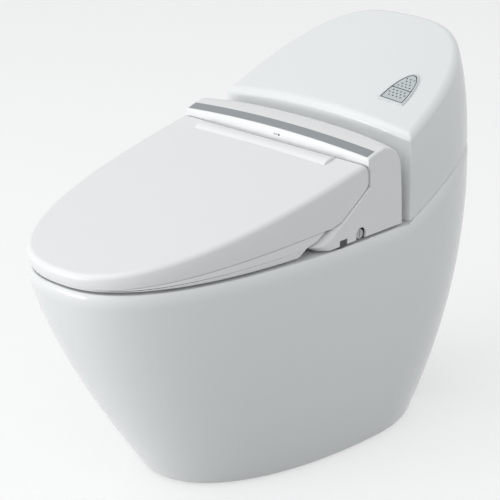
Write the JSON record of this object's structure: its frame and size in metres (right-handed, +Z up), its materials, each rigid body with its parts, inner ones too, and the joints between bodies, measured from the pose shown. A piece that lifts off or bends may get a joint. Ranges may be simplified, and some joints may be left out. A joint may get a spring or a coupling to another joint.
{
  "type": "toilet",
  "caption": "One-piece skirted toilet with a sloped ceramic tank cover, a dual push button, an integrated spray unit and a soft-close seat and lid.",
  "frame": {"origin": "centre of the floor waste outlet, at floor level", "axes": "+Z up, -Y towards the nose of the bowl, +Y towards the wall, +X to the right as seen from the front"},
  "size_m": [0.396, 0.7743, 0.6179],
  "materials": {
    "glazed_clay": "glossy",
    "black_rubber": "matt",
    "red_rubber": "matt",
    "zinc_steel": "satin",
    "brass_nickel": "satin",
    "bright_trim": "glossy",
    "grey_button": "dimpled satin",
    "blue_plastic": "matt",
    "white_plastic_matt": "matt",
    "dark_plastic": "matt",
    "white_plastic": "glossy",
    "grey_plastic_matt": "matt",
    "stripe_grey": "satin",
    "lens_pale": "glossy",
    "lens_dark": "glossy",
    "steel_tank": "satin",
    "circuit_board": "satin",
    "wand_plastic": "glossy",
    "button_dark_grey": "matt",
    "plug_grey": "satin",
    "buffer_grey": "matt"
  },
  "bodies": {
    "base": {"ceramic_body": "glazed_clay", "outlet_gasket": "black_rubber", "tank_cover": "glazed_clay", "flush_bezel": "bright_trim", "flush_actuator": "blue_plastic", "flush_valve_gasket": "black_rubber", "flush_valve_tower": "white_plastic_matt", "fill_valve": "white_plastic_matt", "fill_valve_washer": "black_rubber", "fill_valve_nut": "white_plastic_matt", "fill_valve_cap": "blue_plastic", "refill_tube": "white_plastic_matt", "unit_cover": "white_plastic", "unit_base": "grey_plastic_matt", "stripe_panel": "stripe_grey", "indicator_window": "lens_pale", "mount_plate": "white_plastic_matt", "mount_bolts": "zinc_steel", "mount_nuts": "white_plastic_matt", "heater_tank": "steel_tank", "control_board": "circuit_board", "board_posts": "grey_plastic_matt", "wand_sleeve": "grey_plastic_matt", "left_damper": "dark_plastic", "right_damper": "dark_plastic", "plug_socket": "grey_plastic_matt", "hose_inlet": "brass_nickel", "cord_gland": "black_rubber", "indicator_lamp": "lens_dark"},
    "seat": {"seat_top": "white_plastic", "seat_bottom": "white_plastic", "seat_bumpers": "buffer_grey"},
    "cover_lid": {"lid": "white_plastic", "lid_bumpers": "buffer_grey"},
    "full_button": {"full_flush_button": "grey_button"},
    "half_button": {"half_flush_button": "grey_button"},
    "flush_valve": {"flush_valve_tube": "blue_plastic", "flush_valve_seal": "red_rubber"},
    "float": {"float_cup": "dark_plastic"},
    "wand": {"spray_wand": "wand_plastic", "nozzle_tip": "wand_plastic"},
    "release": {"release_button": "button_dark_grey"},
    "plug": {"drain_plug": "plug_grey", "plug_ring": "black_rubber"}
  },
  "joints": [
    {"name": "seat_hinge", "type": "hinge", "parent": "base", "child": "seat", "pos_m": [0, -0.065, 0.4615], "axis": [-1, 0, 0], "range_deg": [0, 98]},
    {"name": "lid_hinge", "type": "hinge", "parent": "seat", "child": "cover_lid", "pos_m": [0, -0.065, 0.4615], "axis": [1, 0, 0], "range_deg": [-101, 0]},
    {"name": "full_button_press", "type": "slide", "parent": "base", "child": "full_button", "axis": [-0.0992, 0.4237, -0.9004], "range_m": [0, 0.005], "stiffness_N_per_m": 400},
    {"name": "half_button_press", "type": "slide", "parent": "base", "child": "half_button", "axis": [-0.0992, 0.4237, -0.9004], "range_m": [0, 0.005], "stiffness_N_per_m": 400},
    {"name": "flush_valve_lift", "type": "slide", "parent": "base", "child": "flush_valve", "axis": [0, 0, 1], "range_m": [0, 0.014]},
    {"name": "float_drop", "type": "slide", "parent": "base", "child": "float", "axis": [0, 0, 1], "range_m": [-0.06, 0]},
    {"name": "wand_slide", "type": "slide", "parent": "base", "child": "wand", "axis": [0, -0.9135, -0.4067], "range_m": [0, 0.092]},
    {"name": "release_press", "type": "slide", "parent": "base", "child": "release", "axis": [-1, 0, 0], "range_m": [0, 0.003], "stiffness_N_per_m": 400},
    {"name": "plug_turn", "type": "hinge", "parent": "base", "child": "plug", "pos_m": [0.17, -0.06, 0.377], "axis": [1, 0, 0], "range_deg": [0, 90]}
  ],
  "couplings": [
    {"joint": "flush_valve_lift", "follows": "full_button_press", "ratio": 2.8}
  ]
}
